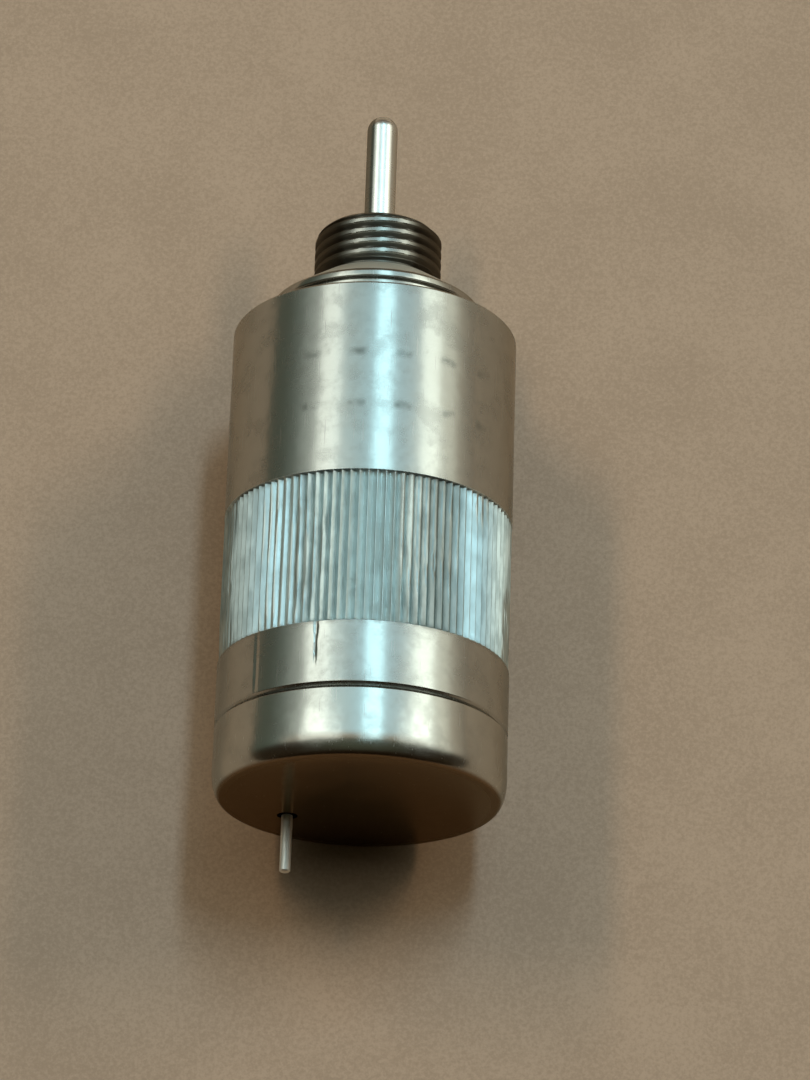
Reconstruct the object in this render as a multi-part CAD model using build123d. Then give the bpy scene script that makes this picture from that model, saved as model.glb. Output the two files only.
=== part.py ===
"""Round push-pin solenoid with a threaded nose, a knurled body and one terminal pin.

It lies along Y as it would on a bench: the nose and its push pin point to +Y, the terminal pin
points to -Y, +X is to the right and +Z is up. The origin is on the axis, in the gauge plane of the
cone that seats in the mouth of the tapped hole. All sizes are in millimetres.

Energised, the coil pulls the armature back against the fixed core and the push pin draws in.
Released, the return spring pushes the armature against its stop washer and the pin stands out.
"""

import math
import os

from build123d import *

# Body: a turned can with a straight knurl, closed at the back by a plug cap
body_diameter = 31.0
can_length = 45.8
can_wall = 1.8
can_lip_thickness = 3.0
shoulder_chamfer = 0.2
seam_chamfer = 0.35

# Straight knurl rolled round the can
knurl_length = 17.0
knurl_to_seam = 7.0
knurl_pitch = 0.94
knurl_crest_drop = 0.05
knurl_depth = 0.36
knurl_groove_width = 0.72

# Plug cap
cap_rim_length = 7.4
cap_floor_thickness = 3.0
cap_wall = 2.4
cap_spigot_length = 4.0
cap_edge_drop = 1.0
cap_edge_length = 2.6

# Nose: an undercut collar, a seat cone, a thread relief, the M14 thread and an inner flange that
# lies behind the can's lip. The gauge plane is where the cone has its gauge diameter.
collar_diameter = 23.2
collar_rim_length = 0.85
undercut_width = 1.2
undercut_depth = 0.5
shoulder_to_gauge_plane = 4.6
seat_gauge_diameter = 19.6
seat_cone_angle = 110.0
seat_tip_diameter = 13.6
thread_diameter = 14.0
thread_length = 5.2
thread_chamfer = 0.7
relief_diameter = 12.2
relief_length = 0.5
thread_run_out = 0.5
nose_flange_thickness = 3.0
tube_counterbore_depth = 1.5

# Push pin, its bush and its seal
pin_diameter = 3.4
pin_reach = 15.1
pin_grip_in_armature = 8.0
bush_wall = 1.4
bush_length = 7.0
pin_passage_clearance = 0.3
seal_wire_diameter = 1.5
seal_pocket_clearance = 0.1
retainer_thickness = 1.0
retainer_recess = 0.8
clip_thickness = 0.7
clip_width = 1.0
clip_groove_depth = 0.3

# Armature, fixed core and the spring between them. The armature takes a set part of the
# winding's diameter, as in a coil whose copper and iron are kept in balance.
stroke = 4.0
pole_residual_gap = 0.3
stop_rest_gap = 0.1
stop_washer_thickness = 1.3
stop_washer_bore_margin = 0.5
plunger_to_coil = 0.476
armature_length = 18.0
armature_vent_width = 1.2
armature_vent_depth = 0.7
spring_pocket_diameter = 6.2
spring_pocket_depth = 5.0
spring_coil_diameter = 5.2
spring_wire_diameter = 0.7
spring_turns = 5.0
core_flange_thickness = 2.2

# Guide tube, bobbin and winding
tube_wall = 0.4
tube_past_bobbin = 0.3
bobbin_wall = 1.0
bobbin_flange_thickness = 1.2
bobbin_flange_margin = 0.5
winding_margin = 0.8
wrap_thickness = 0.4
washer_thickness = 0.5
disc_spring_thickness = 0.4
disc_spring_height = 0.8
disc_spring_width = 2.2

# Cap seal ring
cap_seal_diameter = 1.1
cap_seal_from_rim = 1.2

# Terminal pin, its insulator and the two coil leads
terminal_diameter = 1.2
terminal_reach = 6.25
terminal_chamfer = 0.15
terminal_neck_diameter = 0.7
terminal_inner_reach = 1.6
terminal_from_pocket_wall = 2.15
terminal_angle = 214.0
insulator_wall = 0.7
insulator_inner_reach = 0.6
lead_diameter = 0.8
lead_hole_clearance = 0.3

# Clearances
running_clearance = 0.05
armature_clearance = 0.10
assembly_clearance = 0.05

# Radii worked out from the sizes above
body_r = body_diameter / 2
can_bore_r = body_r - can_wall
knurl_crest_r = body_r - knurl_crest_drop
collar_r = collar_diameter / 2
thread_r = thread_diameter / 2
relief_r = relief_diameter / 2
pin_r = pin_diameter / 2
bush_bore_r = pin_r + running_clearance
bush_r = bush_bore_r + bush_wall
seal_pocket_r = bush_bore_r + seal_wire_diameter + seal_pocket_clearance
bobbin_flange_r = can_bore_r - bobbin_flange_margin
winding_r = bobbin_flange_r - winding_margin
armature_r = winding_r * plunger_to_coil
tube_bore_r = armature_r + armature_clearance
tube_r = tube_bore_r + tube_wall
bobbin_bore_r = tube_r + assembly_clearance
bobbin_hub_r = bobbin_bore_r + bobbin_wall
inner_fit_r = can_bore_r - assembly_clearance
cap_pocket_r = inner_fit_r - cap_wall
clip_r = pin_r + clip_width
terminal_r = terminal_diameter / 2
terminal_neck_r = terminal_neck_diameter / 2
terminal_circle_r = cap_pocket_r - terminal_from_pocket_wall
terminal_x = terminal_circle_r * math.cos(math.radians(terminal_angle))
terminal_z = terminal_circle_r * math.sin(math.radians(terminal_angle))
insulator_r = terminal_neck_r + assembly_clearance + insulator_wall
lead_r = lead_diameter / 2
lead_hole_r = lead_r + lead_hole_clearance

# Places along the axis, from the gauge plane of the seat
seat_rise = 1 / math.tan(math.radians(seat_cone_angle / 2))
seat_tip_y = (seat_gauge_diameter - seat_tip_diameter) / 2 * seat_rise
collar_front_y = (seat_gauge_diameter - collar_diameter) / 2 * seat_rise
collar_back_y = collar_front_y - collar_rim_length
undercut_back_y = collar_back_y - undercut_width
shoulder_y = -shoulder_to_gauge_plane
lip_inner_y = shoulder_y - can_lip_thickness
seam_y = shoulder_y - can_length
knurl_back_y = seam_y + knurl_to_seam
knurl_front_y = knurl_back_y + knurl_length
cap_face_y = seam_y - cap_rim_length
spigot_y = seam_y + cap_spigot_length
cap_pocket_y = cap_face_y + cap_floor_thickness
nose_back_y = lip_inner_y - nose_flange_thickness
nose_pole_y = nose_back_y + tube_counterbore_depth
thread_start_y = seat_tip_y + relief_length + thread_run_out
nose_front_y = thread_start_y + thread_length
core_flange_front_y = spigot_y + core_flange_thickness
rear_washer_y = core_flange_front_y + disc_spring_height
bobbin_front_y = nose_back_y - washer_thickness
bobbin_back_y = rear_washer_y + washer_thickness
stop_washer_y = nose_pole_y - stop_washer_thickness
armature_front_y = stop_washer_y - stop_rest_gap
armature_back_y = armature_front_y - armature_length
core_front_y = armature_back_y - stroke - pole_residual_gap
armature_pocket_y = armature_back_y + spring_pocket_depth
core_pocket_y = core_front_y - spring_pocket_depth
bush_front_y = nose_pole_y + bush_length
seal_pocket_y = nose_front_y - retainer_recess - retainer_thickness - seal_wire_diameter
pin_tip_y = nose_front_y + pin_reach

os.makedirs("parts", exist_ok=True)


def turned(*outline):
    """A solid of revolution about the axis, from a closed outline of (radius, y) points."""
    return revolve(make_face(Polyline(*outline, close=True)), Axis.Y)


def turned_ring(inner, outer, y_back, y_front):
    """A plain ring about the axis."""
    return turned((inner, y_back), (outer, y_back), (outer, y_front), (inner, y_front))


def round_ring(centre_r, y, wire_r):
    """An O-ring about the axis."""
    return revolve(Pos(centre_r, y) * Circle(wire_r), Axis.Y)


def rod_at(x, z, radius, y_back, y_front):
    """A round rod parallel to the axis, away from it."""
    foot = Plane(origin=(x, y_back, z), x_dir=(1, 0, 0), z_dir=(0, 1, 0))
    return extrude(foot * Circle(radius), y_front - y_back)


def save(shape, name):
    """Writes one sub-part."""
    export_step(shape, f"parts/{name}.step")


def knurl_grooves():
    """The V grooves between the knurl's ridges, as one set of cutters round the can."""
    count = round(math.pi * body_diameter / knurl_pitch)
    overlap = 0.2
    flare = knurl_groove_width / 2 * (1 + overlap / knurl_depth)
    across = Plane(origin=(0, knurl_back_y, 0), x_dir=(1, 0, 0), z_dir=(0, 1, 0))
    tooth = Polyline(
        (knurl_crest_r - knurl_depth, 0),
        (knurl_crest_r + overlap, flare),
        (knurl_crest_r + overlap, -flare),
        close=True,
    )
    groove = extrude(across * make_face(tooth), knurl_length)
    return [groove.rotate(Axis.Y, 360 / count * turn) for turn in range(count)]


def housing_shell():
    """The can: an inward lip at the nose end, a plain bore and the knurled band outside, whose
    crests lie just under the turned surface on each side."""
    blank = turned(
        (collar_r + assembly_clearance, shoulder_y),
        (body_r - shoulder_chamfer, shoulder_y),
        (body_r, shoulder_y - shoulder_chamfer),
        (body_r, knurl_front_y),
        (knurl_crest_r, knurl_front_y),
        (knurl_crest_r, knurl_back_y),
        (body_r, knurl_back_y),
        (body_r, seam_y + seam_chamfer),
        (body_r - seam_chamfer, seam_y),
        (can_bore_r, seam_y),
        (can_bore_r, lip_inner_y),
        (collar_r + assembly_clearance, lip_inner_y),
    )
    return blank - knurl_grooves()


def end_cap():
    """The plug cap: rim, rounded edge, spigot with a seal groove, wiring pocket, terminal hole."""
    seal_front = seam_y + cap_seal_from_rim + cap_seal_diameter + assembly_clearance
    seal_back = seam_y + cap_seal_from_rim
    groove_r = inner_fit_r - cap_seal_diameter
    corner = (body_r - cap_edge_drop, cap_face_y + cap_edge_length)
    outline = [
        Line((0, cap_face_y), (corner[0], cap_face_y)),
        EllipticalCenterArc(corner, cap_edge_drop, cap_edge_length, -90, arc_size=90),
        Polyline(
            (body_r, corner[1]),
            (body_r, seam_y - seam_chamfer),
            (body_r - seam_chamfer, seam_y),
            (inner_fit_r, seam_y),
            (inner_fit_r, seal_back),
            (groove_r, seal_back),
            (groove_r, seal_front),
            (inner_fit_r, seal_front),
            (inner_fit_r, spigot_y),
            (cap_pocket_r, spigot_y),
            (cap_pocket_r, cap_pocket_y),
            (0, cap_pocket_y),
            (0, cap_face_y),
        ),
    ]
    blank = revolve(make_face(Curve() + outline), Axis.Y)
    hole_r = insulator_r + assembly_clearance
    return blank - rod_at(terminal_x, terminal_z, hole_r, cap_face_y, cap_pocket_y)


def nose_fitting():
    """The threaded nose, its collar and seat cone, and the flange that bears on the lip's inside."""
    undercut_r = collar_r - undercut_depth
    bush_hole_r = bush_r + assembly_clearance
    passage_r = pin_r + pin_passage_clearance
    return turned(
        (seal_pocket_r, nose_front_y),
        (thread_r - thread_chamfer, nose_front_y),
        (thread_r, nose_front_y - thread_chamfer),
        (thread_r, thread_start_y),
        (relief_r, thread_start_y - thread_run_out),
        (relief_r, seat_tip_y),
        (seat_tip_diameter / 2, seat_tip_y),
        (collar_r, collar_front_y),
        (collar_r, collar_back_y),
        (undercut_r, collar_back_y),
        (undercut_r, undercut_back_y),
        (collar_r, undercut_back_y),
        (collar_r, lip_inner_y),
        (inner_fit_r, lip_inner_y),
        (inner_fit_r, nose_back_y),
        (tube_r + assembly_clearance, nose_back_y),
        (tube_r + assembly_clearance, nose_pole_y),
        (bush_hole_r, nose_pole_y),
        (bush_hole_r, bush_front_y),
        (passage_r, bush_front_y),
        (passage_r, seal_pocket_y),
        (seal_pocket_r, seal_pocket_y),
    )


def front_guide_bush():
    """The plain bronze bush that the push pin slides in."""
    return turned_ring(bush_bore_r, bush_r, nose_pole_y, bush_front_y)


def nose_pin_seal():
    """The rubber ring round the push pin, in the pocket at the end of the nose."""
    wire_r = seal_wire_diameter / 2
    return round_ring(bush_bore_r + wire_r, seal_pocket_y + wire_r, wire_r)


def seal_retainer():
    """The washer pressed into the nose that keeps the pin seal in."""
    back = seal_pocket_y + seal_wire_diameter
    bore_r = pin_r + pin_passage_clearance
    return turned_ring(bore_r, seal_pocket_r - assembly_clearance, back, back + retainer_thickness)


def guide_tube():
    """The thin tube, not magnetic, that the armature slides in and the core is fixed in."""
    back = bobbin_back_y - tube_past_bobbin
    return turned_ring(tube_bore_r, tube_r, back, nose_pole_y)


def stop_washer():
    """The soft washer that the armature comes to rest against."""
    bore_r = clip_r + stop_washer_bore_margin
    return turned_ring(bore_r, tube_bore_r - assembly_clearance, stop_washer_y, nose_pole_y)


def armature():
    """The moving iron: a bore for the push pin, a spring pocket and two air vents along it."""
    grip_end = armature_front_y - pin_grip_in_armature
    pin_hole_r = pin_r + assembly_clearance
    pocket_r = spring_pocket_diameter / 2
    blank = turned(
        (pin_hole_r, armature_front_y),
        (armature_r, armature_front_y),
        (armature_r, armature_back_y),
        (pocket_r, armature_back_y),
        (pocket_r, armature_pocket_y),
        (0, armature_pocket_y),
        (0, grip_end),
        (pin_hole_r, grip_end),
    )
    vent_centre = armature_r - armature_vent_depth / 2
    middle_y = (armature_front_y + armature_back_y) / 2
    vent = Box(armature_vent_depth * 1.01, armature_length, armature_vent_width)
    sides = [Pos(side * vent_centre, middle_y, 0) * vent for side in (1, -1)]
    return blank - sides


def push_pin():
    """The push pin: a ground rod with a ball end and a groove for its clip."""
    back = armature_front_y - pin_grip_in_armature
    groove_r = pin_r - clip_groove_depth
    ball = (0, pin_tip_y - pin_r)
    outline = [
        Polyline(
            (0, pin_tip_y),
            (0, back),
            (pin_r, back),
            (pin_r, armature_front_y),
            (groove_r, armature_front_y),
            (groove_r, armature_front_y + clip_thickness),
            (pin_r, armature_front_y + clip_thickness),
            (pin_r, ball[1]),
        ),
        CenterArc(ball, pin_r, 0, 90),
    ]
    return revolve(make_face(Curve() + outline), Axis.Y)


def pin_clip():
    """The spring clip in the pin's groove that carries the pin's load to the armature's face."""
    inner = pin_r - clip_groove_depth + assembly_clearance
    back = armature_front_y
    front = back + clip_thickness - assembly_clearance
    ring = turned_ring(inner, clip_r, back, front)
    mouth = Box(clip_r * 2, clip_thickness * 4, inner * 1.5)
    return ring - Pos(clip_r, back, 0) * mouth


def return_spring():
    """The coil spring between the armature's pocket and the core's pocket."""
    wire_r = spring_wire_diameter / 2
    coil_r = (spring_coil_diameter - spring_wire_diameter) / 2
    length = armature_pocket_y - core_pocket_y - spring_wire_diameter
    along = Plane(origin=(0, core_pocket_y + wire_r, 0), x_dir=(1, 0, 0), z_dir=(0, 1, 0))
    path = along * Helix(length / spring_turns, length, coil_r)
    section = Plane(origin=path @ 0, z_dir=path % 0) * Circle(wire_r)
    return sweep(section, path, is_frenet=True)


def fixed_core():
    """The fixed pole: a stem in the guide tube and a flange that carries the flux to the can."""
    stem_r = tube_bore_r - assembly_clearance
    pocket_r = spring_pocket_diameter / 2
    blank = turned(
        (0, core_pocket_y),
        (pocket_r, core_pocket_y),
        (pocket_r, core_front_y),
        (stem_r, core_front_y),
        (stem_r, core_flange_front_y),
        (inner_fit_r, core_flange_front_y),
        (inner_fit_r, spigot_y),
        (0, spigot_y),
    )
    live_hole = rod_at(terminal_x, terminal_z, lead_hole_r, spigot_y, core_flange_front_y)
    earth_hole = rod_at(-terminal_x, -terminal_z, lead_hole_r, spigot_y, core_flange_front_y)
    return blank - live_hole - earth_hole


def bobbin():
    """The moulded spool that the coil is wound on, with a hole for each lead in its back flange."""
    back_flange_y = bobbin_back_y + bobbin_flange_thickness
    front_flange_y = bobbin_front_y - bobbin_flange_thickness
    spool = turned(
        (bobbin_bore_r, bobbin_back_y),
        (bobbin_flange_r, bobbin_back_y),
        (bobbin_flange_r, back_flange_y),
        (bobbin_hub_r, back_flange_y),
        (bobbin_hub_r, front_flange_y),
        (bobbin_flange_r, front_flange_y),
        (bobbin_flange_r, bobbin_front_y),
        (bobbin_bore_r, bobbin_front_y),
    )
    live_hole = rod_at(terminal_x, terminal_z, lead_hole_r, bobbin_back_y, back_flange_y)
    earth_hole = rod_at(-terminal_x, -terminal_z, lead_hole_r, bobbin_back_y, back_flange_y)
    return spool - live_hole - earth_hole


def coil_winding():
    """The copper winding, as the solid ring that its turns fill."""
    inner = bobbin_hub_r + assembly_clearance
    back = bobbin_back_y + bobbin_flange_thickness
    return turned_ring(inner, winding_r, back, bobbin_front_y - bobbin_flange_thickness)


def winding_wrap():
    """The tape round the winding."""
    inner = winding_r + assembly_clearance
    back = bobbin_back_y + bobbin_flange_thickness
    front = bobbin_front_y - bobbin_flange_thickness
    return turned_ring(inner, inner + wrap_thickness, back, front)


def front_insulator():
    """The fibre washer between the nose flange and the bobbin."""
    return turned_ring(bobbin_bore_r, bobbin_flange_r, bobbin_front_y, nose_back_y)


def rear_insulator():
    """The fibre washer between the bobbin and the disc spring, with a hole for each lead."""
    ring = turned_ring(bobbin_bore_r, bobbin_flange_r, rear_washer_y, bobbin_back_y)
    live_hole = rod_at(terminal_x, terminal_z, lead_hole_r, rear_washer_y, bobbin_back_y)
    earth_hole = rod_at(-terminal_x, -terminal_z, lead_hole_r, rear_washer_y, bobbin_back_y)
    return ring - live_hole - earth_hole


def disc_spring():
    """The conical spring washer that keeps the bobbin tight against the nose flange."""
    outer = bobbin_flange_r
    inner = outer - disc_spring_width
    rise = disc_spring_height - disc_spring_thickness
    return turned(
        (inner, core_flange_front_y + rise),
        (outer, core_flange_front_y),
        (outer, core_flange_front_y + disc_spring_thickness),
        (inner, rear_washer_y),
    )


def cap_seal_ring():
    """The rubber ring in the cap's groove, which keeps water out of the can."""
    wire_r = cap_seal_diameter / 2
    return round_ring(inner_fit_r - wire_r, seam_y + cap_seal_from_rim + wire_r, wire_r)


def terminal_pin():
    """The tinned pin: stout outside, where a connector takes it, with a neck through its bead."""
    outer_y = cap_face_y - terminal_reach
    inner_y = cap_pocket_y + terminal_inner_reach
    shank = rod_at(terminal_x, terminal_z, terminal_r, outer_y, cap_face_y)
    tip = shank.faces().sort_by(Axis.Y)[0].edges()
    neck = rod_at(terminal_x, terminal_z, terminal_neck_r, cap_face_y, inner_y)
    return chamfer(tip, terminal_chamfer) + neck


def terminal_insulator():
    """The bead that holds the terminal pin clear of the cap."""
    inner_y = cap_pocket_y + insulator_inner_reach
    bead = rod_at(terminal_x, terminal_z, insulator_r, cap_face_y, inner_y)
    hole_r = terminal_neck_r + assembly_clearance
    return bead - rod_at(terminal_x, terminal_z, hole_r, cap_face_y, inner_y)


def live_lead():
    """The lead from the winding to the inner end of the terminal pin."""
    front = bobbin_back_y + bobbin_flange_thickness
    return rod_at(terminal_x, terminal_z, lead_r, cap_pocket_y + terminal_inner_reach, front)


def earth_lead():
    """The lead from the winding to the cap, soldered to the floor of its pocket."""
    front = bobbin_back_y + bobbin_flange_thickness
    return rod_at(-terminal_x, -terminal_z, lead_r, cap_pocket_y, front)


save(housing_shell(), "housing_shell")
save(end_cap(), "end_cap")
save(nose_fitting(), "nose_fitting")
save(front_guide_bush(), "front_guide_bush")
save(nose_pin_seal(), "nose_pin_seal")
save(seal_retainer(), "seal_retainer")
save(guide_tube(), "guide_tube")
save(stop_washer(), "stop_washer")
save(armature(), "armature")
save(push_pin(), "push_pin")
save(pin_clip(), "pin_clip")
save(return_spring(), "return_spring")
save(fixed_core(), "fixed_core")
save(bobbin(), "bobbin")
save(coil_winding(), "coil_winding")
save(winding_wrap(), "winding_wrap")
save(front_insulator(), "front_insulator")
save(rear_insulator(), "rear_insulator")
save(disc_spring(), "disc_spring")
save(cap_seal_ring(), "cap_seal_ring")
save(terminal_pin(), "terminal_pin")
save(terminal_insulator(), "terminal_insulator")
save(live_lead(), "live_lead")
save(earth_lead(), "earth_lead")
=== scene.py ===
# %% [markdown]
# A round push-pin solenoid lies on its side on a pale table. It screws into an engine by the
# threaded nose, and the pin at the end of the nose moves when the coil is switched on. This lesson
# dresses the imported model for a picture: the solids give every size, and Blender gives the finish.

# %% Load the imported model
import math

import bmesh
import bpy
from mathutils import Matrix, Vector


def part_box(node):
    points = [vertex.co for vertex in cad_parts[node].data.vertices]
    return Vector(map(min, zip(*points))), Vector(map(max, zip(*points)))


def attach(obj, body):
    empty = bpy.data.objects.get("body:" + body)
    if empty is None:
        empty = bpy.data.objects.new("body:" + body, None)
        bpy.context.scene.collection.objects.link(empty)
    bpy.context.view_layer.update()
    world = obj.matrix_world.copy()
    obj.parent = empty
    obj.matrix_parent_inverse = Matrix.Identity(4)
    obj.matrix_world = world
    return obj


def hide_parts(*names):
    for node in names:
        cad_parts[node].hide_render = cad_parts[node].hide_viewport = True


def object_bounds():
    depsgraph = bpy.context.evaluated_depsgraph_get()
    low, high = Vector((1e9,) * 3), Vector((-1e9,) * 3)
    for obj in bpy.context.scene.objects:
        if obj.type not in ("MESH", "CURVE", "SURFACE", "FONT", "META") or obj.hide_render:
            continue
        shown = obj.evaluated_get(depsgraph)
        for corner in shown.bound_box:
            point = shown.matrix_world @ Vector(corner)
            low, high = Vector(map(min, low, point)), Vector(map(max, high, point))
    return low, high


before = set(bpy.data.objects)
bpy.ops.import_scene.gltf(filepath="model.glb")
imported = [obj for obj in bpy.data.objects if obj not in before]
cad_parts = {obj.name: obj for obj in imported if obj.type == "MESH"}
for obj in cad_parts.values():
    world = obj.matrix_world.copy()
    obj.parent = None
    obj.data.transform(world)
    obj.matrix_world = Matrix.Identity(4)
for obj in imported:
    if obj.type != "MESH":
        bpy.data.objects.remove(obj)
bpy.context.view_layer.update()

# %% [markdown]
# Every size starts from the frame. The boxes of a few nodes give the radii and the places along the
# axis, which runs along Y, with the push pin at the +Y end. Sizes that no box gives, such as where
# the knurl starts, are written once here, in metres. They could be measured off the meshes, but a
# named number is easier to read and to change.

# %% Sizes from the frame
MM = 0.001
body_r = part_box("housing_shell")[1].x
shoulder_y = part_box("housing_shell")[1].y
seam_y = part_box("housing_shell")[0].y
cap_face_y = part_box("end_cap")[0].y
cap_spigot_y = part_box("end_cap")[1].y
nose_front_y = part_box("nose_fitting")[1].y
nose_back_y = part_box("nose_fitting")[0].y
inner_fit_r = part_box("nose_fitting")[1].x
pin_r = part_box("push_pin")[1].x
pin_tip_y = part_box("push_pin")[1].y
pin_back_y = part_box("push_pin")[0].y
floor_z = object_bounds()[0].z
print("body radius", round(body_r / MM, 3), "length", round((shoulder_y - cap_face_y) / MM, 3))

# %% Sizes of the can and the cap
can_wall = 1.8 * MM
lip_thickness = 3.0 * MM
knurl_front_y = seam_y + 24.0 * MM
knurl_back_y = seam_y + 7.0 * MM
knurl_ridges = 104
knurl_crest_drop = 0.05 * MM
knurl_depth = 0.41 * MM
seam_bevel_length = 0.33 * MM
seam_bevel_drop = 0.35 * MM
seam_outer_edge = 0.12 * MM
seam_inner_edge = 0.08 * MM
cap_edge_drop = 1.0 * MM
cap_edge_length = 2.6 * MM
cap_thickness = 3.0 * MM
cap_spigot_wall = 2.4 * MM
play = 0.05 * MM
print("knurl from", round(knurl_front_y / MM, 2), "to", round(knurl_back_y / MM, 2), "mm")

# %% Sizes of the nose
collar_r = 11.6 * MM
collar_rim_length = 0.85 * MM
undercut_width = 1.2 * MM
undercut_depth = 0.5 * MM
seat_gauge_r = 9.8 * MM
seat_tip_r = 6.8 * MM
seat_half_angle = math.radians(55)
relief_r = 6.1 * MM
relief_length = 0.5 * MM
thread_run_out = 0.5 * MM
thread_r = 7.0 * MM
thread_pitch = 1.25 * MM
thread_depth = 0.52 * MM
thread_chamfer = 0.7 * MM
first_crest_y = 3.47 * MM
bore_r = pin_r + 0.3 * MM
seal_pocket_r = pin_r + 1.65 * MM
seal_pocket_y = nose_front_y - 3.3 * MM
seat_rise = 1 / math.tan(seat_half_angle)
seat_tip_y = (seat_gauge_r - seat_tip_r) * seat_rise
collar_front_y = (seat_gauge_r - collar_r) * seat_rise
collar_back_y = collar_front_y - collar_rim_length
relief_end_y = seat_tip_y + relief_length
thread_start_y = relief_end_y + thread_run_out
print("seat cone from", round(collar_front_y / MM, 2), "to", round(seat_tip_y / MM, 2), "mm")

# %% [markdown]
# The camera stands above the terminal end and looks down at about 67 degrees, from nearly half a
# metre away through a long lens. Its place was worked out from the curves of the body's edges. In
# the camera's own axes the object is first tipped about X, then turned a little about the line of
# sight, and moved: the camera's place is that same move, undone. A camera could also be aimed by a
# Track To constraint, but a fitted place is exact and has nothing to aim at.

# %% Camera
PHOTO_HEIGHT_PIXELS = 1080
FOCAL_PIXELS = 4000
camera_pitch = math.radians(-22.78)
camera_roll = math.radians(-1.84)
seam_in_view = Vector((-4.65, -20.63, -421.5)) * MM

turn = Matrix.Rotation(camera_roll, 3, "Z") @ Matrix.Rotation(camera_pitch, 3, "X")
place = Vector((0, seam_y, 0)) - turn.transposed() @ seam_in_view
camera_data = bpy.data.cameras.new("photo_camera")
camera_data.sensor_width = 36.0
camera_data.lens = FOCAL_PIXELS / PHOTO_HEIGHT_PIXELS * camera_data.sensor_width
camera = bpy.data.objects.new("photo_camera", camera_data)
camera.matrix_world = Matrix.Translation(place) @ turn.transposed().to_4x4()
bpy.context.scene.collection.objects.link(camera)
bpy.context.scene.camera = camera
print("camera at", [round(v, 3) for v in place], "lens", round(camera_data.lens, 1), "mm")

# %% [markdown]
# A material here is a small graph of nodes. The graphs could be drawn by hand in the shader editor,
# but written out they can be read and reused. These helpers keep them short: one adds a node and
# sets its inputs, one does a sum, one maps a number from one range to another, and one blends two
# colours. An input that is another node's output is linked, and any other value is written on the
# socket itself.

# %% Helpers for node graphs
def add(tree, kind, settings=None, **inputs):
    """Adds a node, sets its properties and its inputs, and returns it."""
    node = tree.nodes.new(kind)
    for name, value in (settings or {}).items():
        setattr(node, name, value)
    for name, value in inputs.items():
        socket = node.inputs[int(name[1:])] if name[0] == "_" else node.inputs[name.replace("_", " ")]
        plug(tree, socket, value)
    return node


def plug(tree, socket, value):
    """Links a socket to another node's output, writes a plain value on it, or leaves it for None."""
    if isinstance(value, bpy.types.NodeSocket):
        tree.links.new(value, socket)
    elif value is not None:
        socket.default_value = value


def calc(tree, operation, a, b=None, c=None, clamp=False):
    """One sum between sockets or numbers."""
    settings = {"operation": operation, "use_clamp": clamp}
    return add(tree, "ShaderNodeMath", settings, _0=a, _1=b, _2=c).outputs[0]


def ramp(tree, value, low, high, to_low=0.0, to_high=1.0, smooth=True):
    """Maps a number from one range to another, and holds it at both ends."""
    settings = {"interpolation_type": "SMOOTHSTEP" if smooth else "LINEAR", "clamp": True}
    return add(tree, "ShaderNodeMapRange", settings, _0=value, _1=low, _2=high, _3=to_low,
               _4=to_high).outputs[0]


def mix_colour(tree, factor, a, b):
    """Blends two colours."""
    node = add(tree, "ShaderNodeMix", {"data_type": "RGBA"}, _0=factor)
    plug(tree, node.inputs[6], a)
    plug(tree, node.inputs[7], b)
    return node.outputs[2]


print("graph helpers ready")

# %% Sums and masks
def times(tree, a, b):
    """Two numbers multiplied. Of two masks, it is where both hold."""
    return calc(tree, "MULTIPLY", a, b)


def plus(tree, a, b):
    """Two numbers added."""
    return calc(tree, "ADD", a, b)


def minus(tree, a, b):
    """The second number taken from the first."""
    return calc(tree, "SUBTRACT", a, b)


def larger(tree, a, b):
    """The larger of two numbers. Of two masks, it is where either holds."""
    return calc(tree, "MAXIMUM", a, b)


def over(tree, value, low):
    """A mask that is 1 where a number is over a bound, with a sharp edge."""
    return calc(tree, "GREATER_THAN", value, low)


def under(tree, value, high):
    """A mask that is 1 where a number is under a bound, with a sharp edge."""
    return calc(tree, "LESS_THAN", value, high)


def gap(tree, a, b):
    """How far apart two numbers are."""
    return calc(tree, "ABSOLUTE", minus(tree, a, b))


def near(tree, value, centre, reach):
    """A mask that is 1 at a value and fades to 0 over a reach on each side."""
    return ramp(tree, gap(tree, value, centre), 0.0, reach, 1.0, 0.0)


def round_the_axis(tree, where):
    """A point's place along the axis, its radius from it, and its angle round it from the top."""
    x, y, z = add(tree, "ShaderNodeSeparateXYZ", Vector=where).outputs
    squares = plus(tree, times(tree, x, x), times(tree, z, z))
    return y, calc(tree, "SQRT", squares), calc(tree, "ARCTAN2", x, z)


print("sums and masks ready")

# %% Helpers for materials
def new_material(name):
    """A material with an empty graph, its Principled shader, and the place on the object."""
    material = bpy.data.materials.new(name)
    material.use_nodes = True
    tree = material.node_tree
    tree.nodes.clear()
    shader = tree.nodes.new("ShaderNodeBsdfPrincipled")
    output = tree.nodes.new("ShaderNodeOutputMaterial")
    tree.links.new(shader.outputs[0], output.inputs[0])
    where = add(tree, "ShaderNodeTexCoord").outputs["Object"]
    return material, tree, shader, where


def noise(tree, where, scale, detail, roughness=None, turn=None):
    """Cloudy values round 0.5: one scale makes round spots, and three make streaks."""
    if isinstance(scale, tuple):
        where = add(tree, "ShaderNodeMapping", Vector=where, Rotation=turn, Scale=scale).outputs[0]
        scale = 1.0
    return add(tree, "ShaderNodeTexNoise", Vector=where, Scale=scale, Detail=detail,
               Roughness=roughness).outputs[0]


def bump(tree, height, distance, strength, normal=None, settings=None):
    """A normal that leans as if the surface rose by a distance where a value is high."""
    return add(tree, "ShaderNodeBump", settings, Strength=strength, Distance=distance, Height=height,
               Normal=normal).outputs[0]


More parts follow.
